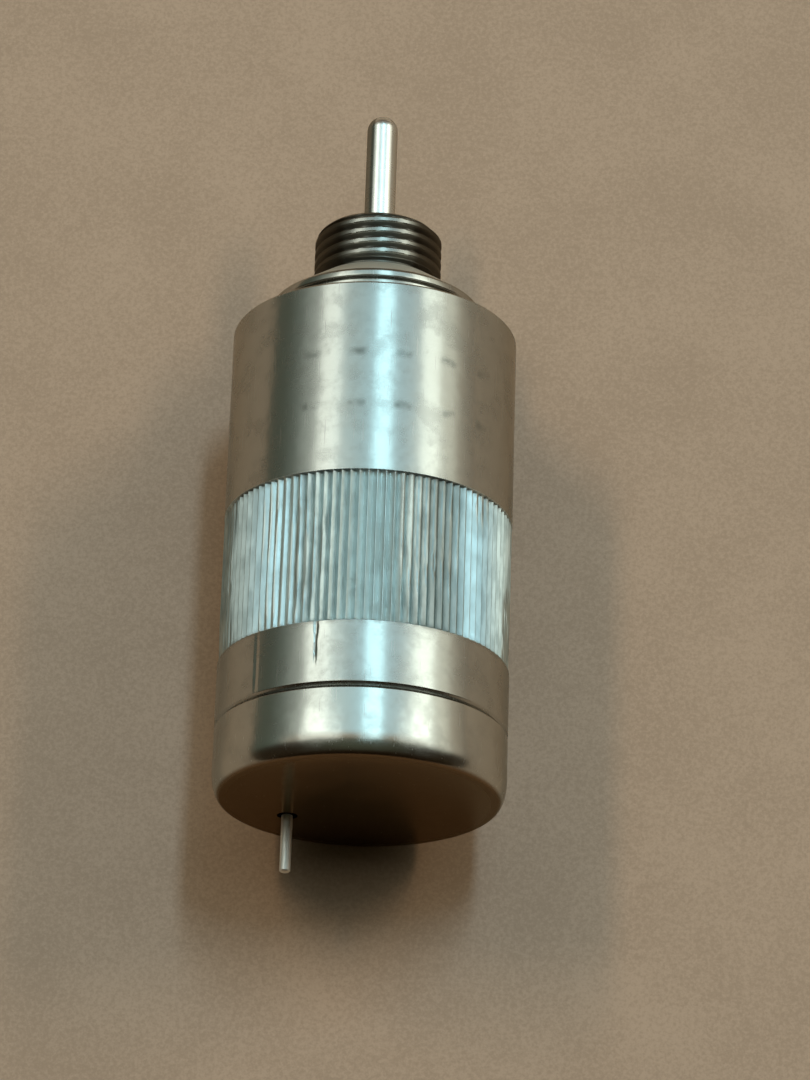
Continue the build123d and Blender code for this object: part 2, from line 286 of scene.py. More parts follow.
def dress(tree, shader, colour, rough, normal, metallic):
    """Gives a shader its colour, its roughness, its bumped normal and how metallic it is."""
    plug(tree, shader.inputs["Base Color"], colour)
    plug(tree, shader.inputs["Roughness"], rough)
    plug(tree, shader.inputs["Normal"], normal)
    shader.inputs["Metallic"].default_value = metallic


print("material helpers ready")

# %% [markdown]
# The table is plain and pale, in a warm sand tone. Polished metal is a mirror, so the table is seen
# twice: once beside the solenoid and once as the brown shade along its flanks. A flat colour would
# look like paper and a scanned cloth would draw the eye, so a soft mottle and a fine grain, both of
# noise, lie between two close tones.

# %% Table
floor_half = 1.6
sand_dark = (0.252, 0.178, 0.118, 1)
sand_light = (0.311, 0.223, 0.151, 1)
floor_mesh = bpy.data.meshes.new("table_top")
floor_mesh.from_pydata(
    [(-floor_half, -floor_half, floor_z), (floor_half, -floor_half, floor_z),
     (floor_half, floor_half, floor_z), (-floor_half, floor_half, floor_z)], [], [(0, 1, 2, 3)])
floor = bpy.data.objects.new("table_top", floor_mesh)
bpy.context.scene.collection.objects.link(floor)

sand, tree, shader, where = new_material("sand_table")
mottle = noise(tree, where, 75.0, 3.0, 0.55)
grain = noise(tree, where, 2300.0, 2.0, 0.7)
speck = plus(tree, times(tree, grain, 0.70), times(tree, mottle, 0.30))
table_colour = mix_colour(tree, ramp(tree, speck, 0.34, 0.66), sand_dark, sand_light)
dress(tree, shader, table_colour, 0.75, None, 0.0)
floor_mesh.materials.append(sand)
print("table at z", round(floor_z / MM, 2), "mm")

# %% [markdown]
# A polished cylinder shows its room as long stripes. Long soft panels hang over the table, parallel
# to the solenoid: the two outer ones warm, the middle one cool. Each is placed by the direction in
# which the body reflects it, so moving a panel moves its stripe round the body by half that angle.
# Two wider, dimmer ones hang nearer the terminal end, where the stripes broaden. Point lamps would
# be simpler, but they would draw bright dots on the metal in place of stripes.

# %% Soft panels
def panel(name, across_deg, lean_deg, radiance, height):
    """A long panel over the part, between two angles from overhead across it and along it."""
    low, high = [math.radians(v) for v in across_deg]
    near_end, far_end = [height * math.tan(math.radians(v)) for v in lean_deg]
    across = (low + high) / 2
    back = Vector((math.sin(across), 0, math.cos(across)))
    along = Vector((0, 1, 0))
    light_data = bpy.data.lights.new(name, "AREA")
    light_data.shape = "RECTANGLE"
    light_data.size = 2 * height * math.tan((high - low) / 2)
    light_data.size_y = far_end - near_end
    brightest = max(radiance)
    light_data.color = [v / brightest for v in radiance]
    light_data.energy = brightest * math.pi * light_data.size * light_data.size_y
    light = bpy.data.objects.new(name, light_data)
    centre = Vector((0, seam_y + (near_end + far_end) / 2, 0)) + back * height
    axes = Matrix((along.cross(back), along, back)).transposed().to_4x4()
    light.matrix_world = Matrix.Translation(centre) @ axes
    bpy.context.scene.collection.objects.link(light)
    return light


stripe_height = 0.9
stripe_panels = [
    ("left_panel", (-43.5, -26), (15, 46), (0.95, 1.00, 0.90)),
    ("left_wide_panel", (-46, -15), (1, 21), (0.84, 0.91, 0.83)),
    ("middle_panel", (2, 16), (1, 46), (0.92, 1.50, 1.64)),
    ("right_panel", (40, 56), (15, 46), (0.98, 1.08, 0.96)),
    ("right_wide_panel", (30, 58), (1, 21), (0.92, 1.02, 0.93)),
]
for name, across_deg, lean_deg, radiance in stripe_panels:
    panel(name, across_deg, lean_deg, radiance, stripe_height)
print("stripe panels hung:", len(stripe_panels))

# %% [markdown]
# Three narrow key panels, in about the same directions, give the table its light and the solenoid
# its three overlapping shadows. One large lamp would give only one. Mirrors don't show the keys,
# because the dimmer panels already draw those stripes.

# %% Key panels
key_height = 2.2
key_panels = [
    ("left_key", (-34, -29), (16, 37), (34.4, 26.2, 17.6)),
    ("middle_key", (9.5, 14), (15, 35), (34.4, 50.9, 68.6)),
    ("right_key", (43.5, 48.5), (16, 37), (35.4, 27.0, 18.2)),
]
for name, across_deg, lean_deg, radiance in key_panels:
    key = panel(name, across_deg, lean_deg, radiance, key_height)
    key.visible_glossy = False
print("key panels hung:", len(key_panels))

# %% [markdown]
# Between and beyond the panels the body mirrors the room. Its light depends on the direction alone:
# a bright ceiling over the nose end, fading to a dark wall on the left and a brown one on the right,
# and almost nothing behind the terminal end, so that the end face stays dark. A sky texture could
# not be shaped like this. One ramp holds the colours by the angle from overhead, and fades along the
# axis hold them to the nose side.

# %% Room colours by angle
room_colours = [
    (-180, (0.11, 0.085, 0.06)),
    (-100, (0.09, 0.095, 0.07)),
    (-76, (0.10, 0.115, 0.085)),
    (-66, (0.17, 0.20, 0.165)),
    (-52, (0.46, 0.51, 0.45)),
    (-40, (0.66, 0.70, 0.63)),
    (-14, (0.71, 0.93, 0.94)),
    (5, (0.68, 1.02, 1.12)),
    (28, (0.70, 0.93, 0.97)),
    (48, (0.86, 0.90, 0.80)),
    (66, (1.02, 1.02, 0.84)),
    (78, (0.46, 0.40, 0.30)),
    (95, (0.20, 0.16, 0.115)),
    (180, (0.11, 0.085, 0.06)),
]
brown_ceiling = (0.50, 0.40, 0.28, 1)
brown_horizon = (0.12, 0.084, 0.052, 1)
dark_wall = (0.024, 0.015, 0.007, 1)
dark_ceiling = (0.070, 0.074, 0.045, 1)
print("room stops:", len(room_colours))

# %% Room
world = bpy.data.worlds.new("room")
bpy.context.scene.world = world
world.use_nodes = True
tree = world.node_tree
tree.nodes.clear()
direction = add(tree, "ShaderNodeTexCoord").outputs["Generated"]
sideways, towards_nose, upwards = add(tree, "ShaderNodeSeparateXYZ", Vector=direction).outputs
across = calc(tree, "ARCTAN2", sideways, upwards)
bands = add(tree, "ShaderNodeValToRGB", Fac=ramp(tree, across, -math.pi, math.pi, smooth=False))
bands.color_ramp.interpolation = "EASE"
while len(bands.color_ramp.elements) < len(room_colours):
    bands.color_ramp.elements.new(0.5)
for element, (angle, colour) in zip(bands.color_ramp.elements, room_colours):
    element.position = angle / 360 + 0.5
    element.color = (*colour, 1)

overhead = times(tree, ramp(tree, towards_nose, 0.12, 0.30, 1.0, 0.0), ramp(tree, upwards, 0.35, 0.75))
room_colour = mix_colour(tree, overhead, bands.outputs[0], brown_ceiling)
horizon = ramp(tree, towards_nose, math.sin(math.radians(32)), math.sin(math.radians(50)))
room_colour = mix_colour(tree, horizon, room_colour, brown_horizon)
behind = mix_colour(tree, ramp(tree, upwards, 0.6, 1.0), dark_wall, dark_ceiling)
room_colour = mix_colour(tree, ramp(tree, towards_nose, 0.0, 0.08), behind, room_colour)
background = add(tree, "ShaderNodeBackground", Color=room_colour)
add(tree, "ShaderNodeOutputWorld", Surface=background.outputs[0])
bpy.context.scene.view_settings.view_transform = "Standard"
print("room ready:", len(tree.nodes), "nodes")

# %% [markdown]
# All the outside pieces are turned on a lathe, so one helper turns them all. It takes a section as
# corners, each with the small radius to which its edge was broken, rounds those edges, and spins the
# section round the axis. A Screw modifier on a curve could spin it too, but here each column of
# points is placed on purpose, which the knurl will need. A sharp modelled edge looks unreal on
# metal, because a real one is always rounded a little and catches a thin line of light.

# %% Sections
def rounded(corners, steps=3, closed=True):
    """Replaces each corner (radius, y, edge) by a short arc of that edge radius."""
    points = []
    count = len(corners)
    for i, (r, y, edge) in enumerate(corners):
        here = Vector((r, y))
        if edge <= 0 or (not closed and i in (0, count - 1)):
            points.append((r, y))
            continue
        before = (Vector(corners[i - 1][:2]) - here).normalized()
        after = (Vector(corners[(i + 1) % count][:2]) - here).normalized()
        half = before.angle(after) / 2
        start = here + before * (edge / math.tan(half))
        centre = here + (before + after).normalized() * (edge / math.sin(half))
        end = here + after * (edge / math.tan(half))
        for k in range(steps + 1):
            blend = start.lerp(end, k / steps) - centre
            points.append(tuple(centre + blend.normalized() * edge))
    return points


def filled(start, end, step):
    """Points from start to end along a straight side, about one step apart, without the last."""
    start, end = Vector(start), Vector(end)
    count = max(1, math.ceil((end - start).length / step))
    return [tuple(start.lerp(end, k / count)) for k in range(count)]


def even_angles(count):
    """Angles round the axis, evenly spaced."""
    return [2 * math.pi * k / count for k in range(count)]


print("section helpers ready")

# %% Lathe
def turned_mesh(name, outline, angles, closed=True):
    """Spins an outline of (radius, y) round the Y axis and returns a closed mesh object."""
    columns = len(angles)
    rows = len(outline)
    points = [(r * math.sin(a), y, r * math.cos(a)) for r, y in outline for a in angles]
    faces = []
    for i in range(rows if closed else rows - 1):
        low = i * columns
        high = (i + 1) % rows * columns
        for k in range(columns):
            n = (k + 1) % columns
            faces.append((low + k, low + n, high + n, high + k))
    mesh = bpy.data.meshes.new(name)
    mesh.from_pydata(points, [], faces)
    clean(mesh)
    piece = bpy.data.objects.new(name, mesh)
    bpy.context.scene.collection.objects.link(piece)
    return piece


def clean(mesh, merge=0.0001 * MM):
    """Merges doubles, drops flat leftovers and points the faces outwards."""
    work = bmesh.new()
    work.from_mesh(mesh)
    bmesh.ops.remove_doubles(work, verts=work.verts, dist=merge)
    bmesh.ops.dissolve_degenerate(work, edges=work.edges, dist=merge)
    bmesh.ops.recalc_face_normals(work, faces=work.faces)
    work.to_mesh(mesh)
    work.free()
    smooth(mesh, 32)


def smooth(mesh, crease_deg):
    """Smooths the shading, and keeps the edges sharp that fold by more than an angle."""
    mesh.shade_smooth()
    mesh.set_sharp_from_angle(angle=math.radians(crease_deg))
    mesh.update()


def check_closed(piece):
    """Prints a piece's size in triangles and how many of its edges are open."""
    edge_faces = {}
    for polygon in piece.data.polygons:
        for key in polygon.edge_keys:
            edge_faces[key] = edge_faces.get(key, 0) + 1
    open_edges = sum(1 for n in edge_faces.values() if n != 2)
    triangles = sum(len(p.vertices) - 2 for p in piece.data.polygons)
    print(piece.name, "triangles", triangles, "open edges", open_edges)


print("lathe ready")

# %% [markdown]
# Bright plated steel is most of this object. A plain grey metal would look like a drawing, so the
# finish follows how the steel was made and used: turning lines that run round the axis, a soft
# mottle from handling, fine scratches, and some brown where a mask puts it, dirt in some places and
# painted shade in others. One graph with a few settings serves every steel piece. The reflections
# are drawn out along the axis a little, across the turning lines, as on any turned bar.

# %% Steel
scratch_metal = (0.62, 0.62, 0.60, 1)
# One brown serves for dirt and for painted shade.
dirt_and_shade_brown = (0.075, 0.06, 0.04, 1)
warm_edge_tint = (0.68, 0.63, 0.56, 1)
line_height = 0.002 * MM
wave_height = 0.04 * MM


def steel(name, tint, roughness, dirt_and_shade_masks=None, accents=None, stretch=0.45, mottle_amount=1.0):
    """Plated steel, turning lines round Y, dirt and painted shade by masks, and a piece's own accents."""
    material, tree, shader, where = new_material(name)
    lines = noise(tree, where, (160, 5200, 160), 2.0)
    handled = ramp(tree, noise(tree, where, 330.0, 5.0, 0.62), 0.42, 0.66)
    scratches = noise(tree, where, (5200, 210, 5200), 1.0, turn=(0.0, 0.0, 0.12))
    scratches = ramp(tree, scratches, 0.69, 0.76)

    darker = tuple(0.80 * v for v in tint)
    colour = mix_colour(tree, times(tree, handled, 0.55 * mottle_amount), (*tint, 1), (*darker, 1))
    colour = mix_colour(tree, times(tree, scratches, 0.25), colour, scratch_metal)
    rough = plus(tree, roughness, times(tree, handled, 0.07 * mottle_amount))
    rough = plus(tree, rough, times(tree, lines, 0.05))
    rough = plus(tree, rough, times(tree, scratches, 0.10))
    # Where a mask holds, brown is mixed in: dirt in some places, painted shade in others.
    if dirt_and_shade_masks:
        patchy, solid = dirt_and_shade_masks(tree, where)
        patch_noise = ramp(tree, noise(tree, where, 900.0, 4.0), 0.30, 0.62)
        dirt_and_shade = larger(tree, times(tree, patchy, patch_noise), solid)
        colour = mix_colour(tree, dirt_and_shade, colour, dirt_and_shade_brown)
        rough = calc(tree, "ADD", rough, times(tree, dirt_and_shade, 0.30), clamp=True)
    if accents:
        colour, rough = accents(tree, where, colour, rough)

    normal = bump(tree, noise(tree, where, 240.0, 2.0), wave_height, 1.0)
    normal = bump(tree, lines, line_height, 0.5, normal)
    normal = bump(tree, scratches, line_height, 0.35, normal, {"invert": True})
    dress(tree, shader, colour, rough, normal, 1.0)
    shader.inputs["Specular Tint"].default_value = warm_edge_tint
    shader.inputs["Anisotropic"].default_value = stretch
    shader.inputs["Anisotropic Rotation"].default_value = 0.25
    around = add(tree, "ShaderNodeTangent", {"direction_type": "RADIAL", "axis": "Y"})
    plug(tree, shader.inputs["Tangent"], around.outputs[0])
    return material


print("steel graph ready")

# %% [markdown]
# Dirt stays where a cloth doesn't reach, in the V line between the can and the cap. Along the ends
# of the knurl the same brown is painted shade, and down in its grooves the metal is made a little
# darker. The masks ask only for a point's radius and its place along the axis, so they fit the
# shape exactly, which paint on an image could not do as sharply.

# %% Dirt and painted shade on the can
seam_reach = 0.6 * MM
knurl_edge_reach = 0.5 * MM


def seam_dirt(tree, radius):
    """Dirt at the bottom of the V line, and none on its two edges."""
    return ramp(tree, radius, body_r - 0.12 * MM, body_r - 0.01 * MM, 0.12, 0.0)


def body_dirt_and_shade(tree, where):
    """Grime in the seam, painted shade along both ends of the knurl, darker metal in its grooves."""
    y, radius, _ = round_the_axis(tree, where)
    seam = times(tree, seam_dirt(tree, radius), under(tree, y, seam_y + seam_reach))
    # Painted shade along the front and back ends of the knurl.
    front = times(tree, near(tree, y, knurl_front_y, knurl_edge_reach), 0.05)
    back = times(tree, near(tree, y, knurl_back_y, knurl_edge_reach), 0.25)
    groove = ramp(tree, radius, body_r - 0.38 * MM, body_r - 0.26 * MM, 0.15, 0.0)
    on_knurl = larger(tree, larger(tree, front, back), groove)
    return times(tree, on_knurl, over(tree, radius, body_r - 0.8 * MM)), seam


print("can dirt ready")

# %% [markdown]
# The long plain band has two faint rows of smudges, and the knurl is a paler, bluer metal than the
# rest, because the wheel that rolled it bared fresh steel. Round the body it is painted brighter in
# some places, as highlights, and darker in others, as shade. The places are given as angles from the
# top, in radians, each with a reach and a strength.

# %% Smudges, knurl metal and painted highlights
smudge_rows = (-12.9 * MM, -18.9 * MM)
smudge_spacing = math.radians(18.5)
smudge_first = math.radians(12.6)
smudge_grey = (0.17, 0.19, 0.18, 1)
# Painted highlights and painted shade on the knurl, by angle round the body.
painted_highlight_places = [(-0.66, 0.26, 1.0), (0.80, 0.13, 1.0), (0.03, 0.34, 0.75)]
painted_shade_places = [(0.52, 0.22, 1.0), (-1.03, 0.2, 1.0)]
fleck_dark, fleck_light = (0.41, 0.49, 0.50, 1), (0.62, 0.72, 0.73, 1)
painted_highlight_colour, painted_shade_colour = (0.80, 0.92, 0.94, 1), (0.26, 0.31, 0.31, 1)


def smudges(tree, where, y, angle):
    """A mask of the two broken rows on the upper side of the long plain band."""
    turns = calc(tree, "DIVIDE", minus(tree, angle, smudge_first), smudge_spacing)
    spots = ramp(tree, calc(tree, "COSINE", times(tree, turns, 2 * math.pi)), 0.0, 0.9)
    upper_side = ramp(tree, gap(tree, angle, 0.1), 0.65, 0.9, 1.0, 0.0)
    rows = 0.0
    for row_y in smudge_rows:
        rows = plus(tree, rows, near(tree, y, row_y, 0.75 * MM))
    smear = ramp(tree, noise(tree, where, 420.0, 3.0), 0.30, 0.65)
    return times(tree, times(tree, times(tree, rows, spots), upper_side), smear)


def places(tree, angle, rows):
    """A mask of soft patches round the body."""
    mask = 0.0
    for middle, reach, strength in rows:
        mask = larger(tree, mask, times(tree, near(tree, angle, middle, reach), strength))
    return mask


def knurl_metal_and_painted_light(tree, where, angle):
    """Flecked fresh steel, painted brighter in some places and darker in others, as light and shade."""
    flecks = ramp(tree, noise(tree, where, (1500, 330, 1500), 3.0), 0.36, 0.64)
    colour = mix_colour(tree, flecks, fleck_dark, fleck_light)
    painted_highlight = times(tree, places(tree, angle, painted_highlight_places), 0.9)
    colour = mix_colour(tree, painted_highlight, colour, painted_highlight_colour)
    return mix_colour(tree, times(tree, places(tree, angle, painted_shade_places), 0.7), colour, painted_shade_colour)


def body_accents(tree, where, colour, rough):
    """The smudges on the plain band, and the knurl's metal with its painted light and shade."""
    y, _, angle = round_the_axis(tree, where)
    smudge = smudges(tree, where, y, angle)
    colour = mix_colour(tree, times(tree, smudge, 0.8), colour, smudge_grey)
    rough = plus(tree, rough, times(tree, smudge, 0.16))
    on_knurl = times(tree, over(tree, y, knurl_back_y), under(tree, y, knurl_front_y))
    colour = mix_colour(tree, times(tree, on_knurl, 0.85), colour, knurl_metal_and_painted_light(tree, where, angle))
    return colour, plus(tree, rough, times(tree, on_knurl, 0.19))


body_steel = steel("bright_body_steel", (0.50, 0.51, 0.485), 0.19, body_dirt_and_shade, body_accents)
print("body steel:", len(body_steel.node_tree.nodes), "nodes")

# %% [markdown]
# The can is turned from bar, then a knurling wheel rolls ridges into one band so that a hand can
# grip it. A bump in the material would be lighter, but its outline would stay smooth, and an array
# of ridges would have to be joined to the can. So the blank is turned with its columns of points set
# where the ridges will have their corners, and with close rows where the wheel's groove runs out.

# %% Can blank
knurl_land = 0.03
ridge_corners = (-knurl_land, knurl_land, 0.16, 0.32, 0.485, 0.515, 0.68, 0.84)
knurl_angles = [2 * math.pi * (ridge + corner) / knurl_ridges
                for ridge in range(knurl_ridges) for corner in ridge_corners]
edge_row = 0.03 * MM
run_out = 0.20 * MM
run_out_step = run_out / 5
band_step = 0.8 * MM
land_step = 0.5 * MM
can_bore_r = body_r - can_wall
lip_inner_y = shoulder_y - lip_thickness
lip_r = collar_r + play

front_corner = rounded([
    (lip_r, shoulder_y, 0),
    (body_r - 0.2 * MM, shoulder_y, 0.1 * MM),
    (body_r, shoulder_y - 0.2 * MM, 0.15 * MM),
    (body_r, knurl_front_y + 2 * edge_row, 0),
    (body_r, knurl_front_y, 0)], closed=False)
band = filled((body_r, knurl_front_y - edge_row), (body_r, knurl_front_y - run_out), run_out_step)
band += filled((body_r, knurl_front_y - run_out), (body_r, knurl_back_y + run_out), band_step)
band += filled((body_r, knurl_back_y + run_out), (body_r, knurl_back_y + edge_row), run_out_step)
band += [(body_r, knurl_back_y + edge_row), (body_r, knurl_back_y)]
land = filled((body_r, knurl_back_y - 2 * edge_row), (body_r, seam_y + seam_reach), land_step)
back_corner = rounded([
    (body_r, seam_y + seam_reach, 0),
    (body_r, seam_y + seam_bevel_length, seam_outer_edge),
    (body_r - seam_bevel_drop, seam_y, seam_inner_edge),
    (can_bore_r, seam_y, 0)], closed=False)
inside = [(can_bore_r, lip_inner_y), (lip_r, lip_inner_y)]
housing = turned_mesh("housing_worn", front_corner + band + land + back_corner + inside, knurl_angles)
check_closed(housing)

# %% [markdown]
# Geometry Nodes do the wheel's work, because the knurl follows a rule: each point moves in by an
# amount that its angle gives. The ridge count, the depth and the wear stay numbers on the modifier
# that can be changed. The thread later follows such a rule too, so both trees share their start, the
# move itself and their end. Each tree is run once, and its result is kept as a plain mesh.

# %% Shared parts of the shaping trees
def start_shaping(name, sizes):
    """Starts a tree with a named number for each size, and returns its sockets' identifiers too."""
    tree = bpy.data.node_groups.new(name, "GeometryNodeTree")
    rows = [("Geometry", "NodeSocketGeometry")]
    rows += [(size, "NodeSocketFloat") for size in sizes]
    rows += [("Material", "NodeSocketMaterial")]
    found = {}
    for label, kind in rows:
        socket = tree.interface.new_socket(name=label, in_out="INPUT", socket_type=kind)
        found[label] = socket.identifier
    tree.interface.new_socket(name="Geometry", in_out="OUTPUT", socket_type="NodeSocketGeometry")
    given = tree.nodes.new("NodeGroupInput").outputs
    position = add(tree, "GeometryNodeInputPosition").outputs[0]
    return tree, found, given, position


def from_whole(tree, value):
    """How far a number is from the nearest whole one, from 0 to a half."""
    return gap(tree, value, calc(tree, "ROUND", value))


def end_shaping(tree, given, position, radius, new_radius):
    """Moves the points to a new radius, makes all real, sets the material and ends the tree."""
    share = calc(tree, "DIVIDE", new_radius, radius)
    x, y, z = add(tree, "ShaderNodeSeparateXYZ", Vector=position).outputs
    moved = add(tree, "ShaderNodeCombineXYZ", X=times(tree, x, share), Y=y, Z=times(tree, z, share))
    shaped = add(tree, "GeometryNodeSetPosition", Geometry=given["Geometry"], Position=moved.outputs[0])
    real = add(tree, "GeometryNodeRealizeInstances", Geometry=shaped.outputs[0])
    dressed = add(tree, "GeometryNodeSetMaterial", Geometry=real.outputs[0], Material=given["Material"])
    output = tree.nodes.new("NodeGroupOutput")
    tree.links.new(dressed.outputs[0], output.inputs[0])


def shaped_by(piece, tree, found, values):
    """Runs a node tree on a piece and keeps the result as the piece's plain mesh."""
    modifier = piece.modifiers.new(tree.name, "NODES")
    modifier.node_group = tree
    for name, value in values.items():
        modifier[found[name]] = value
    bpy.context.view_layer.update()
    evaluated = piece.evaluated_get(bpy.context.evaluated_depsgraph_get())
    result = bpy.data.meshes.new_from_object(evaluated)
    result.name = piece.name
    piece.modifiers.remove(modifier)
    piece.data = result


print("shaping helpers ready")

# %% Knurling tree
wear_noise = (150, 45, 150)
outer_skin = 0.97


def knurling_tree():
    """Presses straight ridges into a band of a turned blank, with crests worn by handling."""
    sizes = ["Ridges", "Depth", "Crest Drop", "Front", "Back", "Body Radius", "Wear", "Seed"]
    tree, found, given, position = start_shaping("knurling_wheel", sizes)
    y, radius, angle = round_the_axis(tree, position)
    turns = calc(tree, "DIVIDE", times(tree, angle, given["Ridges"]), 2 * math.pi)
    groove = ramp(tree, from_whole(tree, turns), knurl_land, 0.5, smooth=False)

    noise_at = add(tree, "ShaderNodeVectorMath", {"operation": "MULTIPLY"}, _0=position,
                   _1=wear_noise).outputs[0]
    rub = add(tree, "ShaderNodeTexNoise", {"noise_dimensions": "4D"}, Vector=noise_at,
              W=given["Seed"], Scale=1.0, Detail=1.0).outputs[0]
    worn = times(tree, ramp(tree, rub, 0.48, 0.66), given["Wear"])
    cut = plus(tree, given["Crest Drop"], times(tree, groove, given["Depth"]))
    cut = larger(tree, cut, plus(tree, given["Crest Drop"], worn))

    inside_front = ramp(tree, y, minus(tree, given["Front"], run_out),
                        minus(tree, given["Front"], edge_row / 2), 1.0, 0.0)
    inside_back = ramp(tree, y, plus(tree, given["Back"], edge_row / 2),
                       plus(tree, given["Back"], run_out))
    on_skin = over(tree, radius, times(tree, given["Body Radius"], outer_skin))
    on_band = times(tree, times(tree, inside_front, inside_back), on_skin)
    new_radius = minus(tree, radius, times(tree, cut, on_band))
    end_shaping(tree, given, position, radius, new_radius)
    return tree, found


knurling, knurl_sockets = knurling_tree()
shaped_by(housing, knurling, knurl_sockets, {
    "Ridges": float(knurl_ridges), "Depth": knurl_depth, "Crest Drop": knurl_crest_drop,
    "Front": knurl_front_y, "Back": knurl_back_y, "Body Radius": body_r,
    "Wear": 0.18 * MM, "Seed": 4.0, "Material": body_steel})
check_closed(housing)

# %% [markdown]
# This solenoid has been handled. A tool slipped off the knurl and left a short wedge-shaped gouge,
# there is one light scratch beside it, and a few ridges are nicked. They could be dark lines in the
# colour, but they are shape, so they are pushed into the mesh and catch the light by themselves.
# Each mark is a shallow groove with a centre line, a width that may narrow, and a depth: its angle
# is in degrees and the rest in millimetres. The last one is a small burr, so its depth is negative.

# %% Handling marks
marks = [
    {"angle": -18.2, "from": -41.9, "to": -48.3, "wide": 0.34, "narrow": 0.08, "deep": 0.12},
    {"angle": -45.2, "from": -43.5, "to": -50.1, "wide": 0.32, "narrow": 0.26, "deep": 0.06},
    {"angle": -15.6, "from": -31.4, "to": -32.5, "wide": 0.30, "narrow": 0.20, "deep": 0.20},
    {"angle": 27.7, "from": -34.7, "to": -37.4, "wide": 0.26, "narrow": 0.20, "deep": 0.22},
    {"angle": -18.8, "from": -36.0, "to": -36.5, "wide": 0.28, "narrow": 0.28, "deep": -0.07},
]
mark_reach = 0.7 * MM


def mark_depth(mark, y, angle):
    """How deep one mark is at a place on the skin, in metres."""
    along = (mark["from"] * MM - y) / ((mark["from"] - mark["to"]) * MM)
    if not 0 <= along <= 1:
        return 0.0
    half = (mark["wide"] + (mark["narrow"] - mark["wide"]) * along) * MM
    offset = abs(angle - math.radians(mark["angle"])) * body_r / half
    if offset >= 1:
        return 0.0
    fade = min(1.0, 6 * along + 0.4, 6 * (1 - along))
    return mark["deep"] * MM * (1 - offset * offset) * fade


def press_marks(piece, marks):
    """Moves the points of the outer skin in at each mark."""
    for vertex in piece.data.vertices:
        x, y, z = vertex.co
        radius = math.hypot(x, z)
        if radius < body_r - mark_reach:
            continue
        angle = math.atan2(x, z)
        depth = sum(mark_depth(mark, y, angle) for mark in marks)
        if depth:
            share = (radius - depth) / radius
            vertex.co = (x * share, y, z * share)


press_marks(housing, marks)
smooth(housing.data, 32)
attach(housing, "housing")
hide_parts("housing_shell")
print("marks pressed:", len(marks))

# %% [markdown]
# The plug cap closes the can. A small bevel on it and one on the can make the fine dark line where
# they meet. Its outer edge turns in gently over the last few millimetres, so the stripes of light
# end before the face does. A Bevel modifier would make a round edge, but this one is a long quarter
# ellipse, so it is drawn in the section.

# %% End cap
smooth_angles = even_angles(320)
edge_steps = 28
face_step = 2.5 * MM
spigot_inner_r = inner_fit_r - cap_spigot_wall
cap_floor_y = cap_face_y + cap_thickness
cap_outline = [(0.0, cap_face_y)]
cap_outline += filled((0.2 * MM, cap_face_y), (body_r - cap_edge_drop, cap_face_y), face_step)
for k in range(edge_steps + 1):
    bend = math.radians(90 * k / edge_steps)
    cap_outline.append((body_r - cap_edge_drop * (1 - math.sin(bend)),
                        cap_face_y + cap_edge_length * (1 - math.cos(bend))))
cap_outline += rounded([
    (body_r, cap_face_y + cap_edge_length + 1.0 * MM, 0),
    (body_r, seam_y - seam_bevel_length, seam_outer_edge),
    (body_r - seam_bevel_drop, seam_y, seam_inner_edge),
    (inner_fit_r, seam_y, 0),
    (inner_fit_r, cap_spigot_y, 0.1 * MM),
    (spigot_inner_r, cap_spigot_y, 0.1 * MM),
    (spigot_inner_r, cap_floor_y, 0.2 * MM),
    (0.0, cap_floor_y, 0)], closed=False)
cap = turned_mesh("end_cap_turned", cap_outline, smooth_angles, closed=False)
check_closed(cap)

# %% [markdown]
# The end face is the darkest part of the object. A dark brown tint in its metal, painted shade,
# makes it a dim brown mirror of the shaded table in front of it, in which the terminal pin shows too.
# Black paint would be as dark, but it would mirror nothing.

# %% Cap finish
# Painted shade for the end face.
painted_shade_brown = (0.20, 0.128, 0.067, 1)


def cap_dirt_and_shade(tree, where):
    """Grime in the seam, and painted shade near the rim's edge."""
    y, radius, _ = round_the_axis(tree, where)
    seam = times(tree, seam_dirt(tree, radius), over(tree, y, seam_y - seam_reach))
    # Painted shade: darker near the rim's edge beside the end face.
    on_rim = over(tree, radius, body_r - 1.6 * MM)
    edge = times(tree, near(tree, y, cap_face_y, 0.25 * MM), times(tree, on_rim, 0.5))
    return 0.0, larger(tree, seam, edge)


def cap_face_shade(tree, where, colour, rough):
    """Painted shade: a dark brown tint over the end face."""
    y, _, _ = round_the_axis(tree, where)
    face_shade = ramp(tree, y, cap_face_y + 0.05 * MM, cap_face_y + 0.5 * MM, 1.0, 0.0)
    colour = mix_colour(tree, times(tree, face_shade, 0.94), colour, painted_shade_brown)
    return colour, minus(tree, rough, times(tree, face_shade, 0.06))


cap_steel = steel("bright_cap_steel", (0.55, 0.56, 0.53), 0.17, cap_dirt_and_shade, cap_face_shade)
cap.data.materials.append(cap_steel)
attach(cap, "housing")
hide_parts("end_cap")
print("cap steel:", len(cap_steel.node_tree.nodes), "nodes")

# %% [markdown]
# The nose is one turned piece: an inner flange, an undercut collar, a wide cone that seals in the
# mouth of the hole, a relief groove and a bar for the thread. The bar gets sixteen rows of points to
# each turn of the thread, so that the groove comes out round.

